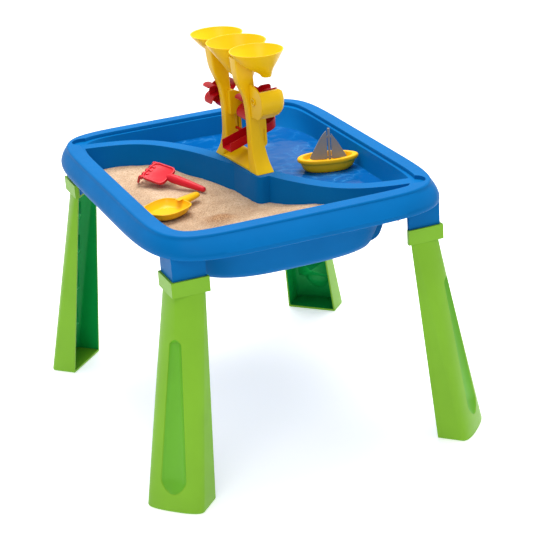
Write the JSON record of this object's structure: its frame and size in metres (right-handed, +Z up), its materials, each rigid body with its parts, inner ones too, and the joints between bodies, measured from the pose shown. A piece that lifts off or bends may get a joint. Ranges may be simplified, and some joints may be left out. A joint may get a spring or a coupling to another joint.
{
  "type": "sand and water table",
  "caption": "Children's play table on splayed legs with a sand basin and a water basin, a funnel tower with turning wheels and a chute, and loose sand and water toys.",
  "frame": {"origin": "on the floor, under the centre of the tray and midway between the four feet", "axes": "+Z up; X across the narrow side, from the sand basin towards the water basin; +Y along the long side, from the end nearest the viewer in the picture to the far end"},
  "size_m": [0.7266, 0.8282, 0.7775],
  "materials": {
    "tray_blue": "semi-gloss moulded plastic, blue",
    "leg_green": "semi-gloss moulded plastic, lime green",
    "tower_yellow": "glossy moulded plastic, yellow",
    "wheel_red": "glossy moulded plastic, red",
    "rake_red": "glossy moulded plastic, light red",
    "toy_yellow": "glossy moulded plastic, warm yellow",
    "sail_grey": "satin plastic, mid grey",
    "axle_steel": "plain drawn wire",
    "play_sand": "loose dry play sand",
    "water": "clear water, blue from the basin under it"
  },
  "bodies": {
    "table": {"tray": "tray_blue", "leg_front_left": "leg_green", "leg_front_right": "leg_green", "leg_back_right": "leg_green", "leg_back_left": "leg_green", "sand_fill": "play_sand", "water_fill": "water"},
    "tower": {"tower_frame": "tower_yellow", "funnel_head": "tower_yellow", "wheel_hood": "tower_yellow", "chute": "wheel_red", "sand_wheel_pin": "axle_steel", "far_wheel_pin": "axle_steel", "near_wheel_pin": "axle_steel"},
    "sand_wheel": {"sand_wheel": "wheel_red"},
    "far_water_wheel": {"far_water_wheel": "wheel_red"},
    "near_water_wheel": {"near_water_wheel": "wheel_red"},
    "drain_plug": {"drain_plug": "wheel_red"},
    "rake": {"rake": "rake_red"},
    "shovel": {"shovel": "toy_yellow"},
    "boat": {"boat_hull": "toy_yellow", "boat_sail": "sail_grey"}
  },
  "joints": [
    {"name": "tower_lift_off", "type": "slide", "parent": "table", "child": "tower", "axis": [0, 0, 1], "range_m": [0, 0.1]},
    {"name": "sand_wheel_spin", "type": "hinge", "parent": "tower", "child": "sand_wheel", "pos_m": [0.04587, 0.00296, 0.641], "axis": [-0.0872, 0.9962, 0], "continuous": true},
    {"name": "far_water_wheel_spin", "type": "hinge", "parent": "tower", "child": "far_water_wheel", "pos_m": [0.00416, 0.08966, 0.655], "axis": [-0.0872, 0.9962, 0], "continuous": true},
    {"name": "near_water_wheel_spin", "type": "hinge", "parent": "tower", "child": "near_water_wheel", "pos_m": [0.04156, -0.07973, 0.673], "axis": [0.9962, 0.0872, 0], "continuous": true},
    {"name": "drain_plug_pull", "type": "slide", "parent": "table", "child": "drain_plug", "axis": [0.7431, -0.6691, 0], "range_m": [0, 0.03]},
    {"name": "rake_pick_up", "type": "slide", "parent": "table", "child": "rake", "axis": [0, 0, 1], "range_m": [0, 0.12]},
    {"name": "shovel_pick_up", "type": "slide", "parent": "table", "child": "shovel", "axis": [0, 0, 1], "range_m": [0, 0.12]},
    {"name": "boat_pick_up", "type": "slide", "parent": "table", "child": "boat", "axis": [0, 0, 1], "range_m": [0, 0.12]}
  ]
}
